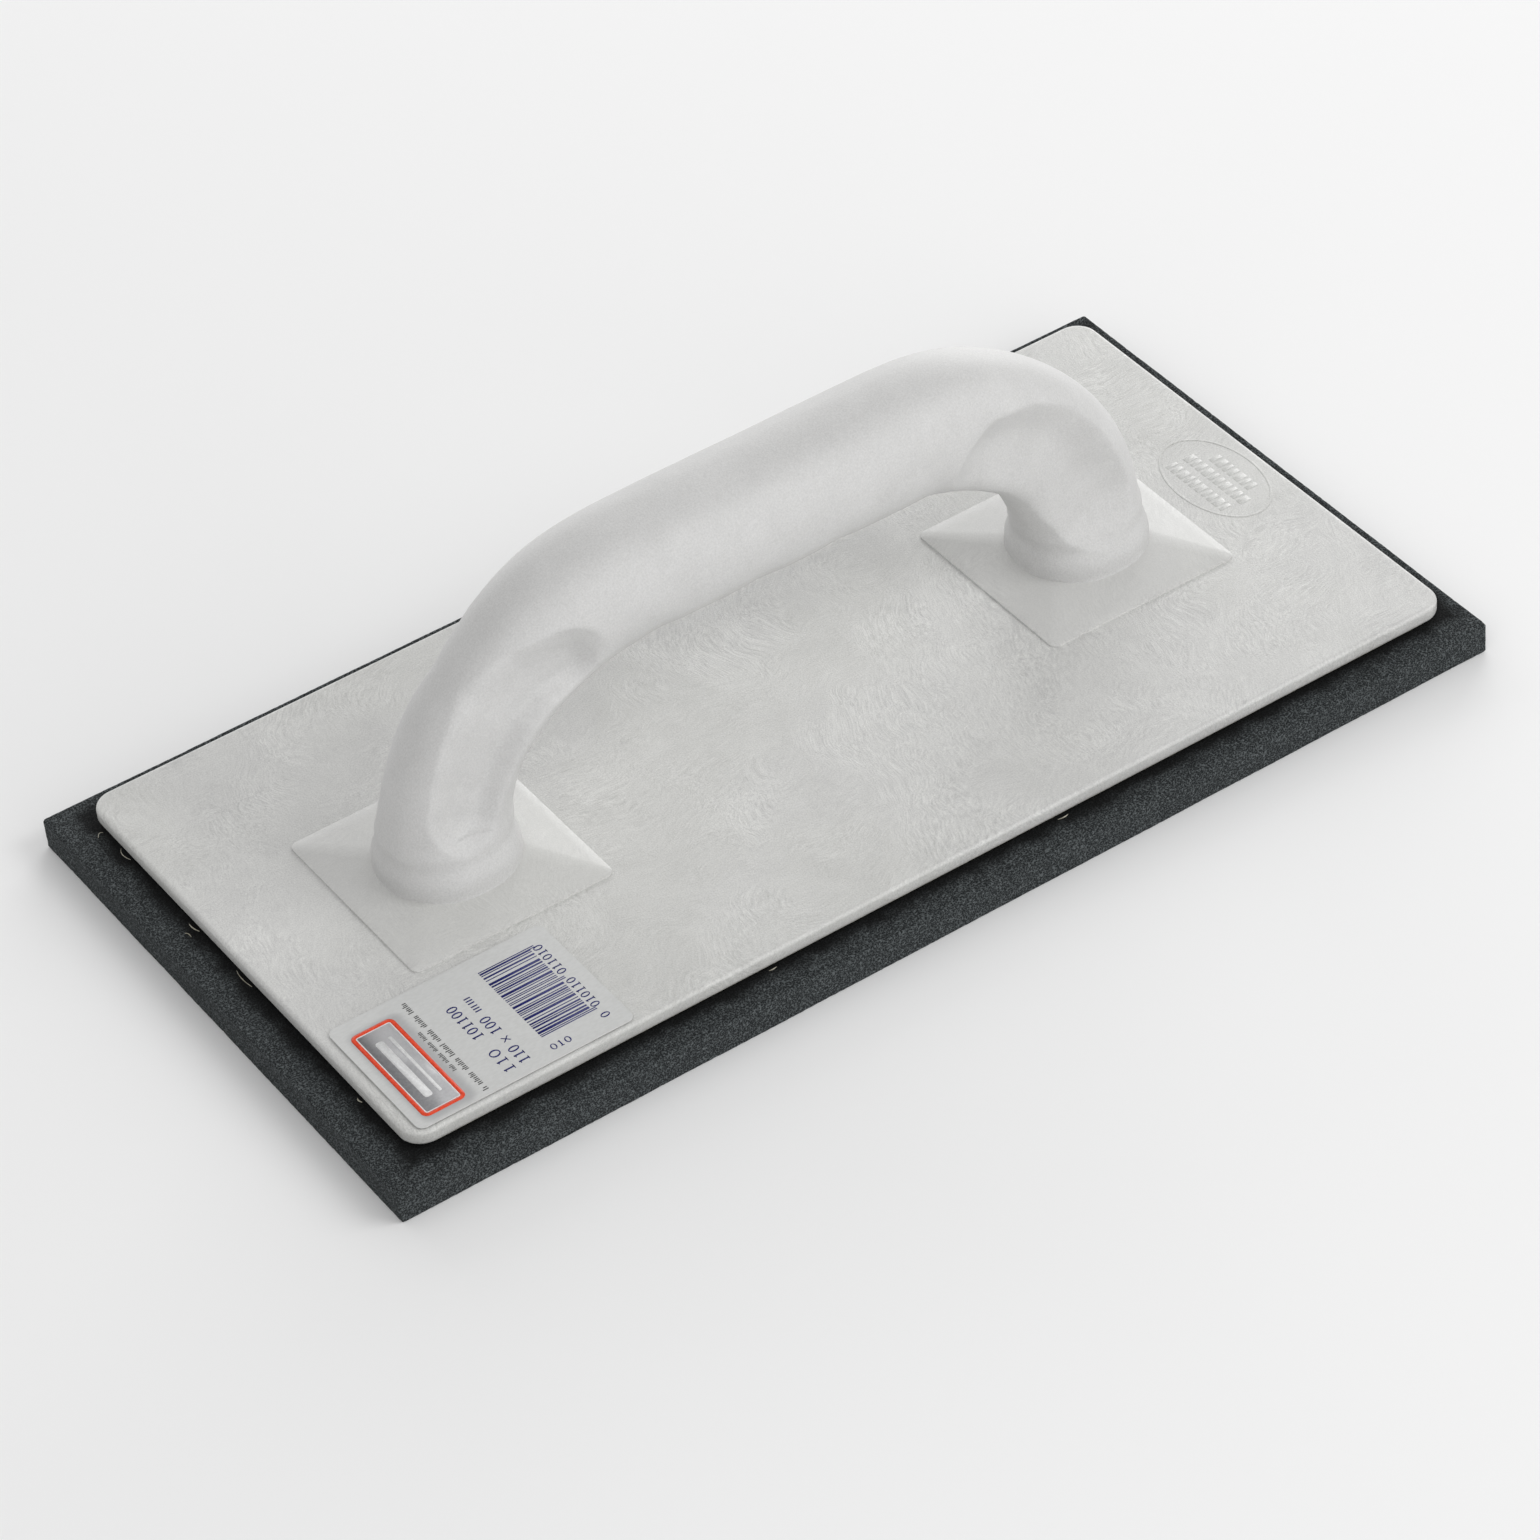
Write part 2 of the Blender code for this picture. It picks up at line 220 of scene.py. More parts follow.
# Board pattern
FLOW_TURNS = (0.15, 1.25)            # directions of the flow marks
FLOW_CELL = (0.0046, 0.00058)        # length and width of a flow mark
HAIR_TURN = 0.5
HAIR_CELL = (0.0085, 0.00032)
FLOW_WEIGHT, GRAIN_WEIGHT, CLOUD_WEIGHT, HAIR_WEIGHT = 1.6, 1.25, 0.70, 0.45
PLINTH_CALM = 0.40                   # strength of the pattern on the plinths
PLASTIC_BUMP = 0.000045

# Rubber pattern
CELL_SHARE, FINE_SHARE = 0.70, 0.90
SHADE_REACH = (0.0002, 0.0052)       # where the painted shade beside the board begins and ends
SHADE_EDGE = 0.0009                  # how unevenly it ends
SHADE_DEPTH = (0.0020, 0.0010)       # where it ends below the sheet's top

# Label film
LABEL_CORNER = 0.0020
LABEL_BEVEL = 0.00005
SHADOW_CORNER = 0.0012               # corner of the badge's printed shadow
SHADOW_SOFT = (0.0012, 0.0036)       # where the shadow begins and ends to fade
SHADOW_STRENGTH = 0.55

# Label print, from the label's middle; its text reads along +Y
BADGE_PLACE = (-0.01925, -0.0012)
BADGE_SIZE = (0.0108, 0.0312)
BADGE_CORNER = 0.0016
BADGE_BORDER = 0.0010
BADGE_TRIM = 0.0003
SHADOW_SHIFT = (0.0007, -0.0004)     # the badge's printed shadow
PRINT_RISE = 0.00004
CODE_BAND = (0.0082, 0.0213)         # lowest and highest X of the bars
CODE_RANGE = (-0.0116, 0.0142)       # lowest and highest Y
CODE_GUARD = 0.0012                  # how far the end and middle bars stick out
CODE_MODULES = 95
CODE_GUARDS = (0, 2, 46, 48, 92, 94)
CODE_HALVES = ((3, 45), (50, 91))
CODE_WIDTHS = (2, 1, 1, 3, 1, 2, 1, 2, 3, 1, 1, 2, 2, 1, 1, 3, 1, 1, 2, 1, 4, 1, 1, 2)
CODE_INK = 0.86                      # how much of a module is inked
FIGURES = (                          # pattern, x, y of its first sign, height and pitch
    ("110", -0.0024, -0.01525, 0.0026, 0.0029),
    ("101100", -0.0024, -0.0026, 0.0026, 0.0021),
    ("110", 0.0016, -0.0149, 0.0026, 0.0021),
    ("x", 0.0016, -0.0071, 0.0026, 0.0026),
    ("100", 0.0016, -0.0035, 0.0026, 0.0021),
    ("nn", 0.0016, 0.0050, 0.0026, 0.0030),
    ("0", 0.0228, -0.0142, 0.0022, 0.0019),
    ("010110", 0.0229, -0.0100, 0.0022, 0.0019),
    ("011010", 0.0229, 0.0033, 0.0022, 0.0019),
)
SIDE_FIGURES = ("010", 0.0, -0.0018, 0.0019, 0.0018)
SIDE_PLACE = (0.0105, -0.0156)
STROKE = 0.13                        # thickness of a figure's strokes, in heights
DASH_LINES = (                       # x, lowest and highest y, height and first stroke
    (-0.01185, -0.0083, 0.0065, 0.0011, 1),
    (-0.0098, -0.0175, 0.0162, 0.0014, 4),
)
DASH_HEIGHTS = (0.70, 1.0, 0.70, 0.70, 1.0, 0.70, 0.85)
DASH_STEPS = (0.40, 0.46, 0.36)      # steps, thickness and gaps of the dashes, in heights
DASH_STROKE = 0.17
DASH_SPACE = 0.75
STRIPES = (                          # x from the badge's middle, size along X, corner
    (-0.0010, 0.0020, 0.0006),
    (0.0018, 0.0008, 0.0003),
)
STRIPE_LENGTH = 0.0210


# ------------------------------------------------------------------ meshes
def new_piece(name, points, faces, material, slot, replaces=(), sharp=None):
    """A named mesh piece that rides on the float's one body."""
    mesh = bpy.data.meshes.new(name)
    mesh.from_pydata([tuple(point) for point in points], [], faces)
    mesh.update()
    mesh.materials.append(material)
    mesh.shade_smooth()
    if sharp is not None:
        mesh.set_sharp_from_angle(angle=math.radians(sharp))
    piece = bpy.data.objects.new(name, mesh)
    bpy.context.scene.collection.objects.link(piece)
    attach(piece, "root")
    if replaces:
        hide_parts(*replaces)
    return piece


def loft(rings, closed=True):
    """Points and faces of a tube through rings of equal count, with flat caps if closed."""
    count = len(rings[0])
    points = [tuple(point) for ring in rings for point in ring]
    faces = []
    for low in range(len(rings) - 1):
        a, b = low * count, (low + 1) * count
        for i in range(count):
            j = (i + 1) % count
            faces.append((a + i, a + j, b + j, b + i))
    if closed:
        faces.append(tuple(reversed(range(count))))
        last = (len(rings) - 1) * count
        faces.append(tuple(last + i for i in range(count)))
    return points, faces


def join_shells(*shells):
    """One list of points and faces out of several."""
    points, faces = [], []
    for more_points, more_faces in shells:
        base = len(points)
        points.extend(more_points)
        faces.extend(tuple(base + i for i in face) for face in more_faces)
    return points, faces


def rounded_outline(length, width, radius, steps):
    """Corner-rounded rectangle about the origin, anticlockwise, as (x, y) pairs."""
    outline = []
    for quarter in range(4):
        side_x = 1 if quarter in (0, 3) else -1
        side_y = 1 if quarter in (0, 1) else -1
        for step in range(steps + 1):
            angle = (quarter + step / steps) * math.pi / 2
            x = side_x * (length / 2 - radius) + radius * math.cos(angle)
            y = side_y * (width / 2 - radius) + radius * math.sin(angle)
            outline.append((x, y))
    return outline


def even_outline(length, width, radius, spacing):
    """The same outline with points at even steps, all round."""
    corners = np.array(rounded_outline(length, width, radius, 6))
    closed = np.vstack([corners, corners[:1]])
    run = np.r_[0, np.cumsum(np.linalg.norm(np.diff(closed, axis=0), axis=1))]
    places = np.linspace(0, run[-1], int(run[-1] / spacing), endpoint=False)
    return np.column_stack([np.interp(places, run, column) for column in closed.T])


def rounding(inset, height, radius, steps, upward=True):
    """(inset, height) pairs of a quarter round from an upright side to a flat face."""
    pairs = []
    for step in range(steps + 1):
        angle = step / steps * math.pi / 2
        drop = radius * (1 - math.sin(angle))
        in_by = radius * (1 - math.cos(angle))
        pairs.append((inset + in_by, height - drop if upward else height + drop))
    return pairs if upward else pairs[::-1]


def plate_rings(length, width, radius, levels, steps, centre):
    """Rings of a flat plate, one for each (inset, height) in levels."""
    rings = []
    for inset, height in levels:
        corner = max(radius - inset, 0.0001)
        outline = rounded_outline(length - 2 * inset, width - 2 * inset, corner, steps)
        rings.append([(centre[0] + x, centre[1] + y, height) for x, y in outline])
    return rings


# ------------------------------------------------------------------ material nodes
def start_material(name):
    """A node material's tree and its shader."""
    material = bpy.data.materials.new(name)
    material.use_nodes = True
    return material, material.node_tree, material.node_tree.nodes["Principled BSDF"]


def add_node(tree, kind, inputs, output=0, **settings):
    """A new node with its inputs set or linked; gives back one output socket."""
    made = tree.nodes.new(kind)
    for key, value in settings.items():
        setattr(made, key, value)
    for socket, value in inputs.items():
        if isinstance(value, bpy.types.NodeSocket):
            tree.links.new(value, made.inputs[socket])
        else:
            made.inputs[socket].default_value = value
    return made.outputs[output]


def calc(tree, operation, a, b=0.0):
    """One step of arithmetic on sockets or numbers."""
    return add_node(tree, "ShaderNodeMath", {0: a, 1: b}, operation=operation)


def fit(tree, value, low, high, new_low=0.0, new_high=1.0):
    """A smooth step of value from low..high to new_low..new_high."""
    inputs = {0: value, 1: low, 2: high, 3: new_low, 4: new_high}
    return add_node(tree, "ShaderNodeMapRange", inputs, interpolation_type="SMOOTHSTEP")


def add_noise(tree, coords, scale, detail=2.0, roughness=0.5, output="Fac"):
    inputs = {"Vector": coords, "Scale": scale, "Detail": detail, "Roughness": roughness}
    return add_node(tree, "ShaderNodeTexNoise", inputs, output)


def blend_colors(tree, share, first, second):
    """The first colour at a share of 0 and the second at 1."""
    inputs = {0: share, 6: first, 7: second}
    return add_node(tree, "ShaderNodeMix", inputs, 2, data_type="RGBA")


def move(tree, coords, scale, turn=0.0):
    """Coordinates scaled along each axis and turned about Z."""
    inputs = {"Vector": coords, "Scale": scale, "Rotation": (0, 0, turn)}
    return add_node(tree, "ShaderNodeMapping", inputs)


def stretch(tree, coords, turn, along, across):
    """Coordinates whose unit is a long cell that points in the given direction."""
    inputs = {"Vector": coords, "Scale": (along, across, across), "Rotation": (0, 0, turn)}
    return add_node(tree, "ShaderNodeMapping", inputs, vector_type="TEXTURE")


def warp(tree, coords, scale, amount, detail=1.0):
    """Coordinates pushed about by a noise, which bends whatever reads them."""
    kind = "ShaderNodeVectorMath"
    push = add_noise(tree, coords, scale, detail, output="Color")
    centred = add_node(tree, kind, {0: push, 1: (0.5, 0.5, 0.5)}, operation="SUBTRACT")
    sized = add_node(tree, kind, {0: centred, "Scale": amount}, operation="SCALE")
    return add_node(tree, kind, {0: coords, 1: sized}, operation="ADD")


def split_axes(tree, coords):
    """The X, Y and Z sockets of coordinates."""
    return add_node(tree, "ShaderNodeSeparateXYZ", {0: coords}).node.outputs


def shade(tree, shader, color, roughness, height=None, depth=0.0):
    """Links a colour, a roughness and the bump of a height to the shader."""
    tree.links.new(color, shader.inputs["Base Color"])
    tree.links.new(roughness, shader.inputs["Roughness"])
    if height is not None:
        inputs = {"Height": height, "Distance": depth, "Strength": 1.0}
        tree.links.new(add_node(tree, "ShaderNodeBump", inputs), shader.inputs["Normal"])


def object_coords(tree):
    """Places in the float's own frame, in metres."""
    return add_node(tree, "ShaderNodeTexCoord", {}, "Object")


def board_plastic():
    """Pale moulded plastic with feathery flow marks, fine hairs and grain."""
    material, tree, shader = start_material("board_plastic_flow")
    coords = object_coords(tree)
    bent = warp(tree, warp(tree, coords, 28, 0.030, 2.0), 160, 0.0022)
    strands = []
    for turn in FLOW_TURNS:
        strands.append(add_noise(tree, stretch(tree, bent, turn, *FLOW_CELL), 1.0, 3.0, 0.72))
    side = fit(tree, add_noise(tree, coords, 30, 2.0), 0.46, 0.54)
    lean = calc(tree, "MULTIPLY", side, calc(tree, "SUBTRACT", strands[1], strands[0]))
    flow = calc(tree, "SUBTRACT", calc(tree, "ADD", strands[0], lean), 0.5)
    patchy = fit(tree, add_noise(tree, coords, 55, 3.0, 0.6), 0.36, 0.66, 0.35, 1.25)
    flow = calc(tree, "MULTIPLY", flow, patchy)
    hairs = add_noise(tree, stretch(tree, bent, HAIR_TURN, *HAIR_CELL), 1.0, 2.0, 0.6)
    area = fit(tree, add_noise(tree, coords, 40, 3.0, 0.6), 0.52, 0.68)
    hairs = calc(tree, "MULTIPLY", fit(tree, hairs, 0.58, 0.76), area)
    grain = calc(tree, "SUBTRACT", add_noise(tree, coords, 2500, 2.0, 0.7), 0.5)
    cloud = calc(tree, "SUBTRACT", add_noise(tree, bent, 60, 4.0, 0.65), 0.5)
    tone = 0.5
    parts = ((flow, FLOW_WEIGHT), (grain, GRAIN_WEIGHT), (cloud, CLOUD_WEIGHT), (hairs, HAIR_WEIGHT))
    for part, weight in parts:
        tone = calc(tree, "ADD", calc(tree, "MULTIPLY", part, weight), tone)
    height = split_axes(tree, coords)[2]
    calm = fit(tree, height, BOARD_TOP + 0.0002, BOARD_TOP + 0.0008, 1.0, PLINTH_CALM)
    tone = calc(tree, "MULTIPLY", calc(tree, "SUBTRACT", tone, 0.5), calm)
    tone = calc(tree, "ADD", tone, 0.5)
    tint = fit(tree, add_noise(tree, coords, 18, 2.0), 0.40, 0.60)
    dark = blend_colors(tree, tint, BOARD_WARM_DARK, BOARD_COOL_DARK)
    color = blend_colors(tree, tone, dark, BOARD_PALE)
    shade(tree, shader, color, fit(tree, tone, 0.2, 0.8, 0.44, 0.36), tone, PLASTIC_BUMP)
    return material


def handle_plastic():
    """The same plastic with a fine, even grain and faint clouds."""
    material, tree, shader = start_material("handle_plastic_grain")
    coords = object_coords(tree)
    grain = calc(tree, "SUBTRACT", add_noise(tree, coords, 2300, 2.0, 0.7), 0.5)
    cloud = calc(tree, "SUBTRACT", add_noise(tree, coords, 90, 3.0, 0.6), 0.5)
    tone = calc(tree, "ADD", grain, calc(tree, "MULTIPLY", cloud, 0.40))
    tone = calc(tree, "ADD", tone, 0.5)
    color = blend_colors(tree, tone, HANDLE_DARK, HANDLE_PALE)
    shade(tree, shader, color, fit(tree, tone, 0.3, 0.7, 0.50, 0.58), tone, PLASTIC_BUMP)
    return material


def foam_rubber():
    """Black cellular rubber: specks of pale cell walls, and painted shade on top beside the board.
    """
    material, tree, shader = start_material("foam_rubber_cells")
    coords = object_coords(tree)
    cell = {"Vector": warp(tree, coords, 900, 0.0004), "Scale": 2600}
    cells = add_node(tree, "ShaderNodeTexVoronoi", cell, "Distance")
    fine = add_noise(tree, coords, 3900, 2.0, 0.75)
    fine = calc(tree, "MULTIPLY", fine, FINE_SHARE)
    light = calc(tree, "ADD", calc(tree, "MULTIPLY", cells, CELL_SHARE), fine)
    light = fit(tree, light, 0.60, 1.20)
    axes = split_axes(tree, coords)
    # Painted shade: the sheet's top is darkened in a band beside the board, as if the board shaded
    # it.
    beside = []
    for place, middle, size in ((axes[0], MIDDLE_X, BOARD_LENGTH), (axes[1], MIDDLE_Y, BOARD_WIDTH)):
        off = calc(tree, "ABSOLUTE", calc(tree, "SUBTRACT", place, middle))
        beside.append(calc(tree, "SUBTRACT", off, size / 2))
    uneven = fit(tree, add_noise(tree, coords, 160, 2.0), 0.3, 0.7, -SHADE_EDGE, SHADE_EDGE)
    apart = calc(tree, "ADD", calc(tree, "MAXIMUM", *beside), uneven)
    clear = fit(tree, apart, *SHADE_REACH, 0.08, 1.0)
    low, high = (PAD_HIGH.z - depth for depth in SHADE_DEPTH)
    clear = calc(tree, "MAXIMUM", clear, fit(tree, axes[2], low, high, 1.0, 0.0))
    color = blend_colors(tree, clear, PAD_SHADE, blend_colors(tree, light, CELL_DARK, CELL_PALE))
    shade(tree, shader, color, fit(tree, light, 0.0, 1.0, 0.95, 0.85), light, 0.00014)
    shader.inputs["Specular IOR Level"].default_value = 0.15
    return material


def dried_glue():
    """Yellowish dried adhesive, lumpy and half glossy."""
    material, tree, shader = start_material("dried_glue_amber")
    coords = object_coords(tree)
    lumps = add_noise(tree, coords, 420, 3.0, 0.6)
    color = blend_colors(tree, fit(tree, lumps, 0.35, 0.65), GLUE_DARK, GLUE_PALE)
    shade(tree, shader, color, fit(tree, lumps, 0.3, 0.7, 0.25, 0.45), lumps, 0.00015)
    return material


def label_film_material():
    """Satin film with a faint fibre and a printed soft shadow round the badge."""
    material, tree, shader = start_material("label_film_satin")
    coords = object_coords(tree)
    fibre = add_noise(tree, move(tree, coords, (1.0, 2.5, 1.0), 0.4), 700, 2.0, 0.6)
    color = blend_colors(tree, fit(tree, fibre, 0.3, 0.7), FILM_DARK, FILM_PALE)
    axes = split_axes(tree, coords)
    outside = []
    for axis in (0, 1):
        middle = LABEL_MIDDLE[axis] + BADGE_PLACE[axis] + SHADOW_SHIFT[axis]
        half = BADGE_SIZE[axis] / 2 - SHADOW_CORNER
        off = calc(tree, "ABSOLUTE", calc(tree, "SUBTRACT", axes[axis], middle))
        reach = calc(tree, "MAXIMUM", calc(tree, "SUBTRACT", off, half), 0.0)
        outside.append(calc(tree, "MULTIPLY", reach, reach))
    far = calc(tree, "SQRT", calc(tree, "ADD", *outside))
    shadow = fit(tree, far, *SHADOW_SOFT, SHADOW_STRENGTH, 0.0)
    color = blend_colors(tree, shadow, color, PRINT_SHADOW)
    shade(tree, shader, color, fit(tree, fibre, 0.3, 0.7, 0.36, 0.44), fibre, 0.000010)
    return material


def ink(name, dark, pale, roughness):
    """Printed ink that varies slightly in cover."""
    material, tree, shader = start_material(name)
    cover = add_noise(tree, object_coords(tree), 1300, 3.0, 0.6)
    color = blend_colors(tree, fit(tree, cover, 0.35, 0.70), (*dark, 1), (*pale, 1))
    shade(tree, shader, color, fit(tree, cover, 0.3, 0.7, roughness, roughness + 0.1))
    shader.inputs["Specular IOR Level"].default_value = 0.2
    return material


def zinc_plate():
    """Zinc-plated steel with faint turning marks."""
    material, tree, shader = start_material("zinc_plated_steel")
    coords = object_coords(tree)
    turned = add_noise(tree, move(tree, coords, (1, 1, 9)), 900, 2.0, 0.6)
    color = blend_colors(tree, turned, ZINC_DARK, ZINC_PALE)
    shade(tree, shader, color, fit(tree, turned, 0.3, 0.7, 0.25, 0.42), turned, 0.00002)
    shader.inputs["Metallic"].default_value = 1.0
    return material


def floor_paint():
    """Plain pale matt floor."""
    material, tree, shader = start_material("pale_floor")
    tone = add_noise(tree, object_coords(tree), 3.0, 2.0)
    tree.links.new(blend_colors(tree, tone, FLOOR_DARK, FLOOR_PALE), shader.inputs["Base Color"])
    shader.inputs["Roughness"].default_value = 0.9
    return material


# ------------------------------------------------------------------ board
def plinth_shell(centre_x):
    """Low plinth with an upright edge and sloping sides that rise to a plateau under the foot."""
    climb = PLINTH_RISE - PLINTH_STEP
    levels = [(0.0, -BOARD_EDGE), (0.0, PLINTH_STEP - PLINTH_LIP)]
    levels.append((0.004, PLINTH_STEP - PLINTH_LIP * 0.3))
    levels += [(share, PLINTH_STEP + climb * share) for share in PLINTH_SLOPE]
    levels += [(1.0, PLINTH_RISE - climb * 0.01), (1.06, PLINTH_RISE)]
    rings = []
    for share, height in levels:
        corner = PLINTH_CORNER + (PLATEAU_CORNER - PLINTH_CORNER) * min(share, 1.0)
        sizes = zip(PLINTH_SIZE, PLINTH_PLATEAU)
        length, width = (low + (high - low) * share for low, high in sizes)
        outline = rounded_outline(length, width, corner, 8)
        rings.append([(centre_x + x, MIDDLE_Y + y, BOARD_TOP + height) for x, y in outline])
    return loft(rings)


def oval_shell():
    """Raised oval line on the board, with rows of blank bars inside it."""
    half, height = OVAL_RIDGE
    middle_x, middle_y = MIDDLE_X + OVAL_PLACE[0], MIDDLE_Y + OVAL_PLACE[1]
    shoulders = [(-half * 0.7, height * 0.6), (0.0, height), (half * 0.7, height * 0.6)]
    profile = [(-half, -OVAL_SUNK), *shoulders, (half, -OVAL_SUNK)]
    points, faces = [], []
    for step in range(OVAL_POINTS):
        angle = step / OVAL_POINTS * 2 * math.pi
        for out, up in profile:
            x = middle_x + (OVAL_HALF[0] + out) * math.cos(angle)
            y = middle_y + (OVAL_HALF[1] + out) * math.sin(angle)
            points.append((x, y, BOARD_TOP + up))
    count = len(profile)
    for step in range(OVAL_POINTS):
        a, b = step * count, (step + 1) % OVAL_POINTS * count
        for i in range(count):
            j = (i + 1) % count
            faces.append((a + i, b + i, b + j, a + j))
    shells = [(points, faces)]
    size, rise = OVAL_BAR
    for index, (offset, low, high) in enumerate(OVAL_LINES):
        y = low
        part = index
        while y < high:
            length = OVAL_BAR_LENGTHS[part % len(OVAL_BAR_LENGTHS)]
            place = (middle_x + offset, middle_y + y + length / 2)
            shells.append(raised_bar(*place, size, length, BOARD_TOP, rise))
            y += length + OVAL_BAR_SPACE
            part += 1
    return join_shells(*shells)


def raised_bar(x, y, length, width, base, rise):
    """Small pad with bevelled top, sunk a little into what it stands on."""
    rings = []
    for inset, height in ((0.0, -BAR_SUNK), (0.0, rise * 0.3), (rise, rise)):
        outline = rounded_outline(length - 2 * inset, width - 2 * inset, BAR_CORNER, 3)
        rings.append([(x + px, y + py, base + height) for px, py in outline])
    return loft(rings)


def make_board(material):
    """The moulded plate with its plinths and the raised oval."""
    middle = (MIDDLE_X, MIDDLE_Y)
    levels = rounding(0.0, BOARD_LOW.z, BOARD_FOOT_EDGE, 3, upward=False)
    levels += rounding(0.0, BOARD_TOP, BOARD_EDGE, 8)
    levels.append((BOARD_EDGE + 0.0004, BOARD_TOP))
    size = (BOARD_LENGTH, BOARD_WIDTH)
    shells = [loft(plate_rings(*size, BOARD_CORNER, levels, BOARD_CORNER_STEPS, middle))]
    shells += [plinth_shell(MIDDLE_X + side * PLINTH_X) for side in (-1, 1)]
    shells.append(oval_shell())
    points, faces = join_shells(*shells)
    new_piece("board_shell", points, faces, material, "board_plastic", ["board"], sharp=32)


# ------------------------------------------------------------------ handle
def natural_spline(knots, values, samples):
    """Natural cubic spline through values at knots, read at samples; one column per value."""
    count = len(knots)
    step = np.diff(knots)
    system = np.eye(count)
    right = np.zeros_like(values)
    for i in range(1, count - 1):
        system[i, i - 1:i + 2] = step[i - 1], 2 * (step[i - 1] + step[i]), step[i]
        ahead = (values[i + 1] - values[i]) / step[i]
        behind = (values[i] - values[i - 1]) / step[i - 1]
        right[i] = 6 * (ahead - behind)
    bend = np.linalg.solve(system, right)
    cell = np.clip(np.searchsorted(knots, samples) - 1, 0, count - 2)
    before = (samples - knots[cell])[:, None]
    after = (knots[cell + 1] - samples)[:, None]
    width = step[cell][:, None]
    curve = (bend[cell] * after ** 3 + bend[cell + 1] * before ** 3) / (6 * width)
    curve += (values[cell] / width - bend[cell] * width / 6) * after
    curve += (values[cell + 1] / width - bend[cell + 1] * width / 6) * before
    return curve


def handle_sections(rings):
    """Outer point, inner point and half width from foot to foot, closer together at the feet."""
    left = [(-outer[0], outer[1], -inner[0], inner[1], half) for outer, _, inner, half in STATIONS]
    right = [(*outer, *inner, half) for _, outer, inner, half in STATIONS]
    rows = np.array(left[:-1] + right[::-1])
    middle = (rows[:, 0:2] + rows[:, 2:4]) / 2
    knots = np.r_[0, np.cumsum(np.linalg.norm(np.diff(middle, axis=0), axis=1))]
    fine = np.arange(0, FOOT_FINE[0], FOOT_FINE[1])
    coarse = np.linspace(FOOT_FINE[0], knots[-1] - FOOT_FINE[0], rings)
    return natural_spline(knots, rows, np.concatenate([fine, coarse, knots[-1] - fine[::-1]]))


def flute_depth(x, z):
    """Depth of the flutes at points of the legs' flanks, in side view."""
    point = np.stack([np.abs(x), z], -1)
    deepest = np.zeros(x.shape)
    for start, end in zip(FLUTE, FLUTE[1:]):
        a, b = np.array(start), np.array(end)
        run = b[:2] - a[:2]
        along = np.clip((point - a[:2]) @ run / (run @ run), 0, 1)[..., None]
        here = a + along * (b - a)
        off = (point - here[..., :2]) / here[..., 2:3]
        inwards = np.clip(0.5 - off @ np.array([-run[1], run[0]]) / np.linalg.norm(run), 0, 1)
        reach = np.linalg.norm(off, axis=-1) * (1 - FLUTE_OPEN * inwards * (x > 0))
        bowl = np.maximum(0.0, 1 - reach ** 2) ** FLUTE_POWER
        foot, rim = FLUTE_WALL
        wall = np.clip((rim - reach) / (rim - foot), 0, 1)
        wall = wall * wall * (3 - 2 * wall)
        share = bowl + inwards * (x < 0) * (wall - bowl)
        deepest = np.maximum(deepest, here[..., 3] * share)
    return deepest


def add_skirts(rings, levels=None):
    """The rings with more under each sole, either the same or at the given levels."""
    low = np.repeat(rings[:1], len(FOOT_SKIRT), axis=0)
    high = np.repeat(rings[-1:], len(FOOT_SKIRT), axis=0)
    if levels is not None:
        low = low * 0 + np.array(levels)[:, None]
        high = low[::-1]
    return np.concatenate([low, rings, high])


def make_handle(material):
    """The D handle, from the left foot over the grip to the right foot."""
    sections = handle_sections(HANDLE_RINGS)
    outer, inner, half_width = sections[:, 0:2], sections[:, 2:4].copy(), sections[:, 4]
    grooves = sum(np.exp(-((inner[:, 0] - x) / GROOVE_WIDTH * 2) ** 2) for x in GROOVES)
    on_grip = np.clip((inner[:, 1] - GROOVE_FADE[0]) / GROOVE_FADE[1], 0, 1)
    inner[:, 1] += GROOVE_DEPTH * grooves * on_grip
    angles = (np.arange(HANDLE_SIDES) + 0.5) / HANDLE_SIDES * 2 * math.pi
    power = 2 / SECTION_POWER
    across = np.sign(np.sin(angles)) * np.abs(np.sin(angles)) ** power
    aside = np.sign(np.cos(angles)) * np.abs(np.cos(angles)) ** power
    middle, reach = (outer + inner) / 2, (outer - inner) / 2
    x = middle[:, 0:1] + reach[:, 0:1] * across
    z = middle[:, 1:2] + reach[:, 1:2] * across
    y = half_width[:, None] * aside
    depth = flute_depth(x, z)
    y -= np.sign(y) * np.minimum(depth, np.abs(y) / 2)
    z *= (HANDLE_HIGH.z - HANDLE_LOW.z) / z.max()
    x, y, z = add_skirts(x), add_skirts(y), add_skirts(z, FOOT_SKIRT)
    swell = 0.0
    for height, spread, size in FOOT_RINGS:
        swell = swell + size * np.exp(-((z - height) / spread) ** 2)
    fillet, fillet_height = FOOT_FILLET
    swell += fillet * np.clip(1 - (z - FOOT_SKIRT[1]) / fillet_height, 0, 1) ** FILLET_POWER
    centre = np.sign(x) * FOOT_X
    out = np.sqrt((x - centre) ** 2 + y ** 2) + TINY
    x, y = x + swell * (x - centre) / out, y + swell * y / out
    points, faces = loft(np.stack([x + MIDDLE_X, y + MIDDLE_Y, z + HANDLE_LOW.z], -1))
    new_piece("handle_grip", points, faces, material, "handle_plastic", ["handle"], sharp=50)


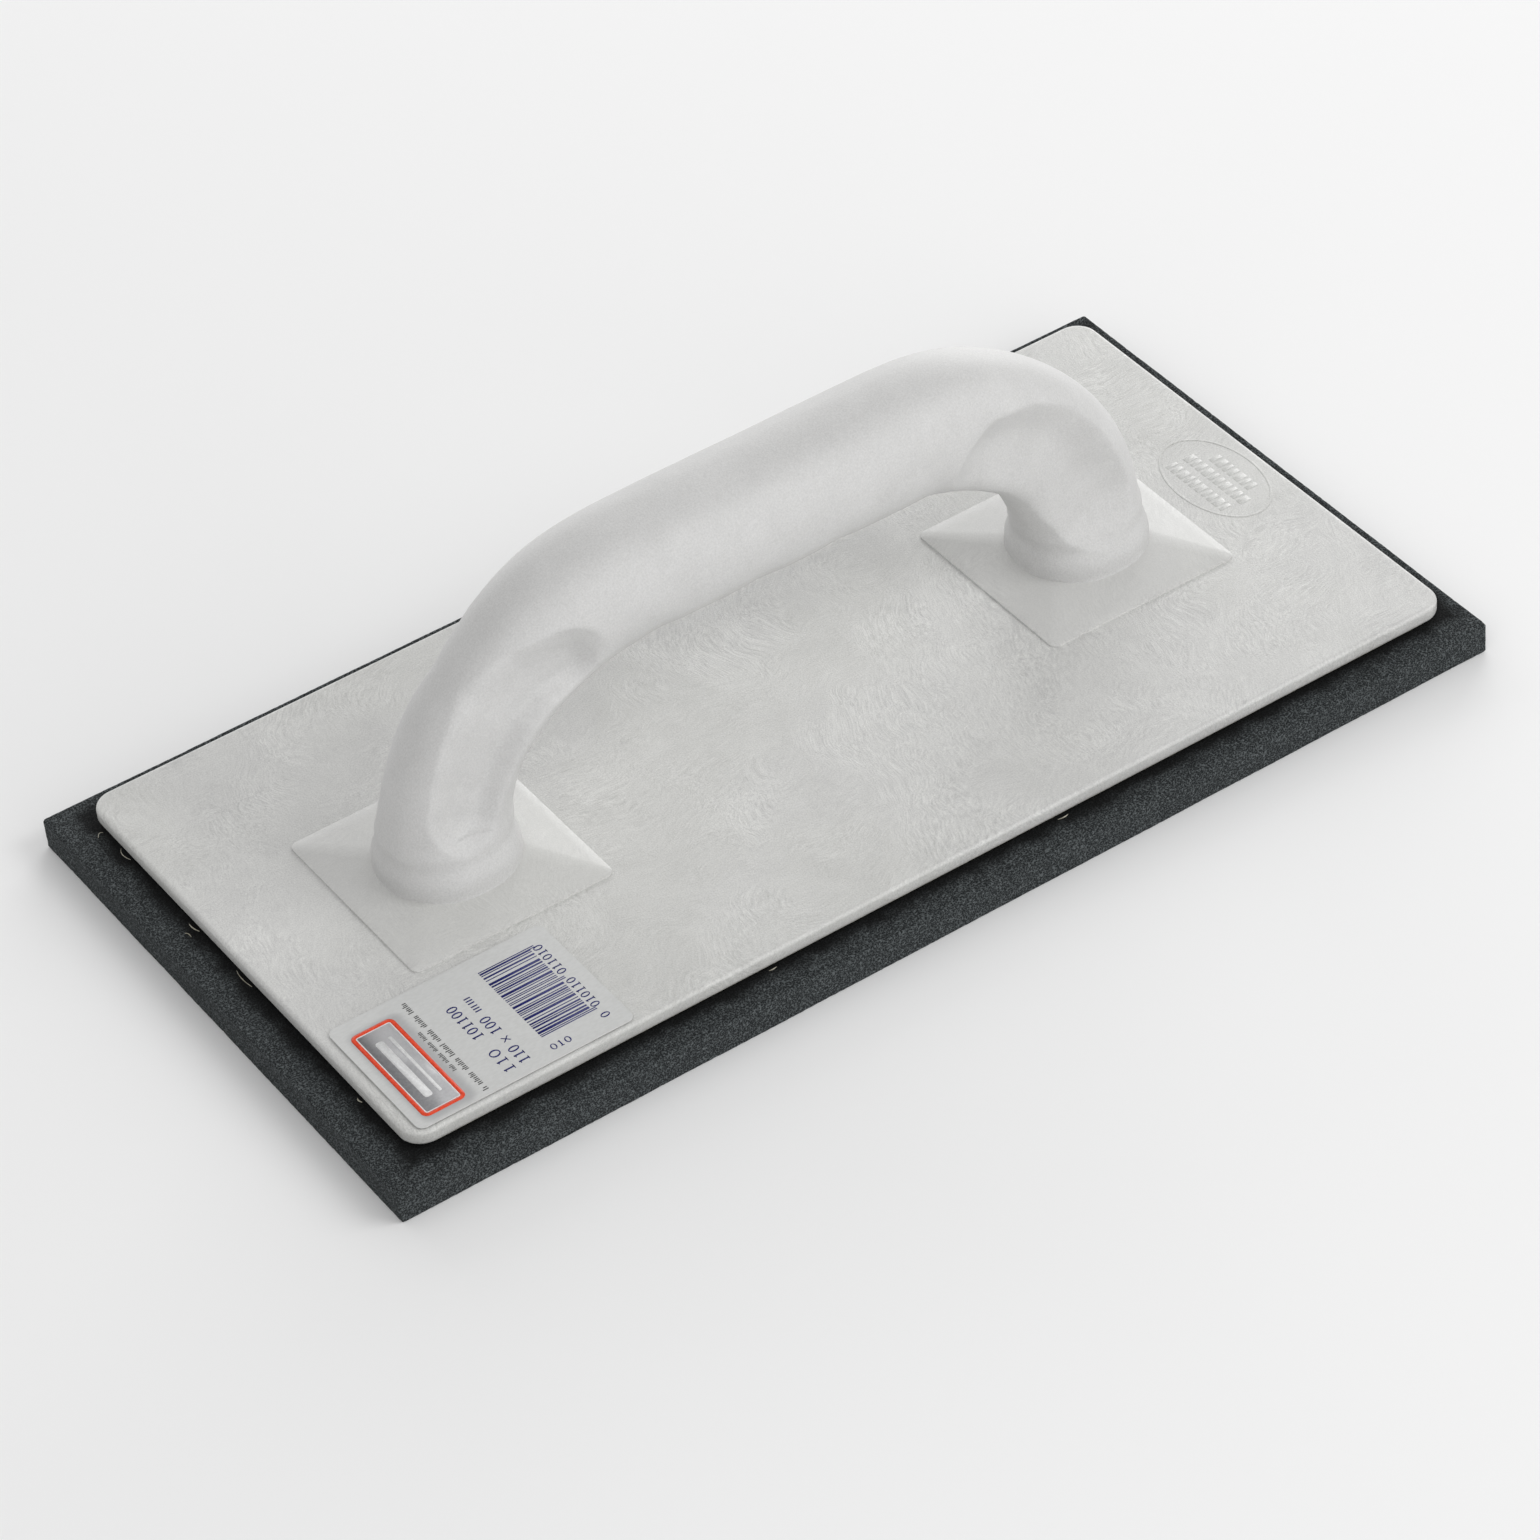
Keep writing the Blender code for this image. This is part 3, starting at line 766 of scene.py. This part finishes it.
# ------------------------------------------------------------------ rubber sheet
def make_pad(material):
    """The sheet with a cut, porous border and a plain middle; every dent goes inwards."""
    top = PAD_HIGH.z
    outline = even_outline(PAD_LENGTH, PAD_WIDTH, PAD_CORNER, PAD_SPACING)
    band = list(np.arange(PAD_EDGE + PAD_SPACING, PAD_FINE_BAND, PAD_SPACING))
    rest = list(np.arange(PAD_FINE_BAND + PAD_COARSE, PAD_REACH, PAD_COARSE))
    side = np.arange(PAD_EDGE + PAD_SPACING, top - PAD_EDGE, PAD_SPACING)
    levels = [(inset, 0.0, PLAIN) for inset in reversed(rest)]
    levels += [(inset, 0.0, UNDERSIDE) for inset in reversed(band)]
    levels += [(*pair, BORDER) for pair in rounding(0.0, 0.0, PAD_EDGE, 2, upward=False)]
    levels += [(0.0, height, BORDER) for height in side]
    levels += [(*pair, BORDER) for pair in rounding(0.0, top, PAD_EDGE, 2)]
    levels += [(inset, top, TOP_SIDE) for inset in band]
    levels += [(inset, top, PLAIN) for inset in rest]
    rings = []
    for inset, height, kind in levels:
        shrink = np.array([1 - 2 * inset / PAD_LENGTH, 1 - 2 * inset / PAD_WIDTH])
        ring = np.column_stack([outline * shrink, np.full(len(outline), height)])
        if kind != PLAIN:
            dent_ring(ring, outline, kind)
        rings.append(ring)
    points, faces = loft(rings)
    pad = new_piece("foam_sheet", points, faces, material, "cellular_rubber", ["rubber_pad"])


def pore_depth(place):
    """Depth of the pores at a place, coarse ones and fine ones together."""
    finer, share = FINE_PORES
    coarse = max(0.0, noise.noise(place / PORE_SIZE))
    fine = max(0.0, noise.noise(place / PORE_SIZE * finer))
    return PORE_DEPTH * (coarse + share * fine)


def dent_ring(ring, outline, kind):
    """Presses the pores into one ring of the sheet, and on its border the waves of the cut."""
    for i, point in enumerate(ring.copy()):
        deep = pore_depth(Vector(point))
        if kind == UNDERSIDE:
            ring[i, 2] += deep
        elif kind == TOP_SIDE:
            ring[i, 2] -= deep
        else:
            wave = CUT_WAVE * (0.5 + 0.5 * noise.noise(Vector(point * CUT_WAVE_SCALE)))
            side = np.abs(outline[i]) - np.array([PAD_HIGH.x, PAD_HIGH.y])
            axis = 0 if side[0] > side[1] else 1
            ring[i, axis] -= math.copysign(deep + wave, point[axis])


# ------------------------------------------------------------------ glue
def thread_shell(path, radius):
    """Thin round strand along a path of points, thinner towards its ends."""
    path = [Vector(point) for point in path]
    rings = []
    for index, point in enumerate(path):
        ahead = (path[min(index + 1, len(path) - 1)] - path[max(index - 1, 0)]).normalized()
        side = ahead.cross(Vector((0, 0, 1))).normalized()
        up = side.cross(ahead)
        share = index / (len(path) - 1)
        thick = radius * (STRAND_ENDS + (1 - STRAND_ENDS) * math.sin(math.pi * share))
        ring = []
        for step in range(STRAND_SIDES):
            turn = step / STRAND_SIDES * 2 * math.pi
            ring.append(point + side * (math.cos(turn) * thick) + up * (math.sin(turn) * thick))
        rings.append(ring)
    return loft(rings)


def bend_path(start, middle, end, arch):
    """Points of an arc over the sheet, from start towards middle and on to end."""
    path = []
    for step in range(STRAND_STEPS + 1):
        share = step / STRAND_STEPS
        a, b, c = (1 - share) ** 2, 2 * share * (1 - share), share ** 2
        place = [a * start[i] + b * middle[i] + c * end[i] for i in (0, 1)]
        path.append((*place, PAD_HIGH.z + STRAND_RADIUS + arch * math.sin(math.pi * share)))
    return path


def make_glue(material):
    """The dried film under the board, with the strands that were drawn out at its edges."""
    length, width = FILM_HIGH.x - FILM_LOW.x, FILM_HIGH.y - FILM_LOW.y
    levels = [(0.0, FILM_LOW.z), (0.0, FILM_HIGH.z)]
    middle = (MIDDLE_X, MIDDLE_Y)
    shells = [loft(plate_rings(length, width, BOARD_CORNER, levels, 12, middle))]
    for *arc, thick in STRANDS:
        shells.append(thread_shell(bend_path(*arc), STRAND_RADIUS * thick))
    points, faces = join_shells(*shells)
    new_piece("glue_film", points, faces, material, "glue", ["adhesive_film"], sharp=40)


def plate_screws(material):
    """Zinc on the two screws kept from the solid model."""
    for name in ("handle_screw_left", "handle_screw_right"):
        mesh = bpy.data.objects[name].data
        mesh.materials.clear()
        mesh.materials.append(material)


# ------------------------------------------------------------------ label
def flat_shape(outline, base, rise):
    """Thin closed slab with the given outline."""
    return loft([[(x, y, base) for x, y in outline], [(x, y, base + rise) for x, y in outline]])


def flat_ring(outer, inner, base, rise):
    """Thin closed slab between two outlines of equal count."""
    top = base + rise
    path = ((outer, base), (outer, top), (inner, top), (inner, base), (outer, base))
    return loft([[(x, y, z) for x, y in line] for line, z in path], closed=False)


def on_label(x, y):
    """A place given from the label's middle."""
    return LABEL_MIDDLE[0] + x, LABEL_MIDDLE[1] + y


def label_box(x, y, length, width, radius=0.00008):
    """Outline of a small box at a place on the label; length is along X."""
    middle = on_label(x, y)
    return [(middle[0] + px, middle[1] + py) for px, py in rounded_outline(length, width, radius, 2)]


def ellipse(x, y, half_x, half_y, count=28):
    """Outline of an oval at a place on the label."""
    middle = on_label(x, y)
    turns = [step / count * 2 * math.pi for step in range(count)]
    return [(middle[0] + half_x * math.cos(a), middle[1] + half_y * math.sin(a)) for a in turns]


def zero_sign(x, y, height, pitch, stroke, base):
    outer = ellipse(x, y, height / 2, pitch * 0.40)
    inner = ellipse(x, y, height / 2 - stroke * 0.7, pitch * 0.40 - stroke * 1.15)
    return [flat_ring(outer, inner, base, PRINT_RISE)]


def one_sign(x, y, height, pitch, stroke, base):
    stem = label_box(x, y, height, stroke * 1.2)
    foot = label_box(x + height / 2 - stroke / 3, y, stroke * 0.6, pitch * 0.5)
    flag = label_box(x - height * 0.36, y - stroke * 0.9, stroke * 0.7, stroke * 1.6)
    return [flat_shape(part, base, PRINT_RISE) for part in (stem, foot, flag)]


def cross_sign(x, y, height, pitch, stroke, base):
    half, slack = pitch * 0.30, stroke / 2
    middle = on_label(x + height * 0.12, y)
    shells = []
    for rise in (-half, half):
        low = [(-half - slack, -rise), (-half + slack, -rise)]
        high = [(half + slack, rise), (half - slack, rise)]
        outline = [(middle[0] + px, middle[1] + py) for px, py in low + high]
        shells.append(flat_shape(outline, base, PRINT_RISE))
    return shells


def three_bars(x, y, height, pitch, stroke, base):
    places = [y + step * pitch * 0.30 for step in (-1, 0, 1)]
    bars = [label_box(x + height * 0.17, place, height * 0.62, stroke) for place in places]
    return [flat_shape(bar, base, PRINT_RISE) for bar in bars]


SIGNS = {"0": zero_sign, "1": one_sign, "x": cross_sign, "n": three_bars}


def print_digits(pattern, x, y, height, pitch, base):
    """Row of rings, bars and crosses that reads along +Y, standing for figures."""
    shells = []
    for index, sign in enumerate(pattern):
        shells += SIGNS[sign](x, y + index * pitch, height, pitch, height * STROKE, base)
    return shells


def turn_shells(shells, x, y):
    """The shells about the label's middle turned to read along +X and moved to a place on it."""
    middle_x, middle_y = LABEL_MIDDLE
    turned = []
    for points, faces in shells:
        moved = []
        for px, py, pz in points:
            moved.append((middle_x + x + (py - middle_y), middle_y + y - (px - middle_x), pz))
        turned.append((moved, faces))
    return turned


def print_code(base):
    """Bars of plain made-up widths, with longer ones at the ends and in the middle."""
    module = (CODE_RANGE[1] - CODE_RANGE[0]) / CODE_MODULES
    bars = [(place, 1) for place in CODE_GUARDS]
    for start, stop in CODE_HALVES:
        place, index = start, start
        while place < stop:
            thick = CODE_WIDTHS[index % len(CODE_WIDTHS)]
            space = CODE_WIDTHS[(index + 7) % len(CODE_WIDTHS)]
            if place + thick <= stop:
                bars.append((place + 1, min(thick, 3)))
            place += thick + min(space, 2)
            index += 2
    shells = []
    for place, thick in bars:
        reach = CODE_BAND[1] + (CODE_GUARD if place in CODE_GUARDS else 0.0)
        x, length = (CODE_BAND[0] + reach) / 2, reach - CODE_BAND[0]
        y = CODE_RANGE[0] + (place + thick / 2) * module
        outline = label_box(x, y, length, thick * module * CODE_INK, 0.00003)
        shells.append(flat_shape(outline, base, PRINT_RISE))
    return shells


def print_dashes(x, y_low, y_high, height, first, base):
    """Line of tiny upright strokes in word-like groups."""
    shells = []
    y, count = y_low, first
    while y < y_high:
        tall = DASH_HEIGHTS[count % len(DASH_HEIGHTS)] * height
        outline = label_box(x + (height - tall) / 2, y, tall, height * DASH_STROKE)
        shells.append(flat_shape(outline, base, PRINT_RISE))
        y += height * DASH_STEPS[count % len(DASH_STEPS)]
        if count % 8 == 5:
            y += height * DASH_SPACE
        count += 1
    return shells


def print_piece(name, shells, material):
    """A named piece of print on the label."""
    new_piece(name, *join_shells(*shells), material, "label_film")


def make_label():
    """Film with generic print: figures and bars in blue, fine dashes in grey and a blank badge."""
    length, width = LABEL_HIGH.x - LABEL_LOW.x, LABEL_HIGH.y - LABEL_LOW.y
    base = LABEL_HIGH.z
    levels = [(0.0, LABEL_LOW.z), (0.0, base - LABEL_BEVEL), (LABEL_BEVEL, base)]
    points, faces = loft(plate_rings(length, width, LABEL_CORNER, levels, 10, LABEL_MIDDLE))
    new_piece("label_film", points, faces, label_film_material(), "label_film", ["label"], sharp=40)
    blue = print_code(base)
    for figures in FIGURES:
        blue += print_digits(*figures, base)
    blue += turn_shells(print_digits(*SIDE_FIGURES, base), *SIDE_PLACE)
    print_piece("label_figures", blue, ink(*BLUE_INK))
    dashes = []
    for line in DASH_LINES:
        dashes += print_dashes(*line, base)
    print_piece("label_dashes", dashes, ink(*BLACK_INK))
    make_badge(base)


def make_badge(base):
    """Blank badge: a coloured frame, a pale trim line and a grey panel with two plain stripes."""
    lines = []
    for inset in (0.0, BADGE_BORDER, BADGE_BORDER + BADGE_TRIM):
        corner = max(BADGE_CORNER - inset, 0.0003)
        outline = rounded_outline(BADGE_SIZE[0] - 2 * inset, BADGE_SIZE[1] - 2 * inset, corner, 8)
        lines.append([on_label(BADGE_PLACE[0] + x, BADGE_PLACE[1] + y) for x, y in outline])
    border, edge, panel = lines
    print_piece("badge_frame", [flat_ring(border, edge, base, PRINT_RISE * 1.5)], ink(*RED_INK))
    trim = [flat_ring(edge, panel, base, PRINT_RISE)]
    for offset, size, corner in STRIPES:
        outline = label_box(BADGE_PLACE[0] + offset, BADGE_PLACE[1], size, STRIPE_LENGTH, corner)
        trim.append(flat_shape(outline, base, PRINT_RISE * 2))
    print_piece("badge_trim", trim, ink(*PALE_INK))
    print_piece("badge_panel", [flat_shape(panel, base, PRINT_RISE)], badge_grey())


def badge_grey():
    """Printed grey that grows paler across the badge."""
    material, tree, shader = start_material("ink_grey_fade")
    coords = object_coords(tree)
    middle, half = LABEL_MIDDLE[0] + BADGE_PLACE[0], BADGE_SIZE[0] / 2
    share = fit(tree, split_axes(tree, coords)[0], middle - half, middle + half)
    fine = add_noise(tree, coords, 1600, 2.0)
    share = calc(tree, "ADD", share, fit(tree, fine, 0.3, 0.7, -0.08, 0.08))
    color = blend_colors(tree, share, BADGE_DARK, BADGE_PALE)
    shade(tree, shader, color, fit(tree, fine, 0.3, 0.7, 0.28, 0.38))
    return material


# ------------------------------------------------------------------ camera, light, floor
def make_camera():
    """The camera that matches the photograph's viewing angle."""
    camera = bpy.data.cameras.new("camera")
    camera.lens = CAMERA_LENS
    camera.sensor_width = CAMERA_SENSOR
    camera.clip_start, camera.clip_end = CAMERA_CLIP
    holder = bpy.data.objects.new("camera", camera)
    right, up = Vector(CAMERA_RIGHT), Vector(CAMERA_UP)
    turn = Matrix((right, up, right.cross(up))).transposed()
    holder.matrix_world = Matrix.Translation(CAMERA_PLACE) @ turn.to_4x4()
    bpy.context.scene.collection.objects.link(holder)
    bpy.context.scene.camera = holder


def add_softbox(name, place, size, power):
    """Square area light aimed at the origin."""
    light = bpy.data.lights.new(name, "AREA")
    light.shape = "SQUARE"
    light.size = size
    light.energy = power
    holder = bpy.data.objects.new(name, light)
    holder.location = place
    holder.rotation_euler = place.to_track_quat("Z", "Y").to_euler()
    holder.visible_camera = False
    bpy.context.scene.collection.objects.link(holder)


def make_studio():
    """Even white surroundings and the softboxes."""
    world = bpy.data.worlds.new("studio")
    bpy.context.scene.world = world
    world.use_nodes = True
    background = world.node_tree.nodes["Background"]
    background.inputs["Color"].default_value = (1.0, 1.0, 1.0, 1.0)
    background.inputs["Strength"].default_value = WORLD_STRENGTH
    for name, turn, climb, power in SOFTBOXES:
        turn, climb = math.radians(turn), math.radians(climb)
        level = math.cos(climb)
        aim = Vector((math.cos(turn) * level, math.sin(turn) * level, math.sin(climb)))
        add_softbox(name, aim * SOFTBOX_DISTANCE, SOFTBOX_SIZE, power)
    bpy.context.scene.view_settings.view_transform = "Standard"


def make_floor(material):
    """The floor, which isn't part of the object."""
    mesh = bpy.data.meshes.new("floor")
    signs = ((-1, -1), (1, -1), (1, 1), (-1, 1))
    corners = [(x * FLOOR_HALF, y * FLOOR_HALF, FLOOR_TOP) for x, y in signs]
    mesh.from_pydata(corners, [], [(0, 1, 2, 3)])
    mesh.materials.append(material)
    floor = bpy.data.objects.new("floor", mesh)
    bpy.context.scene.collection.objects.link(floor)


make_camera()
make_studio()
make_floor(floor_paint())
make_board(board_plastic())
make_handle(handle_plastic())
make_pad(foam_rubber())
make_glue(dried_glue())
plate_screws(zinc_plate())
make_label()
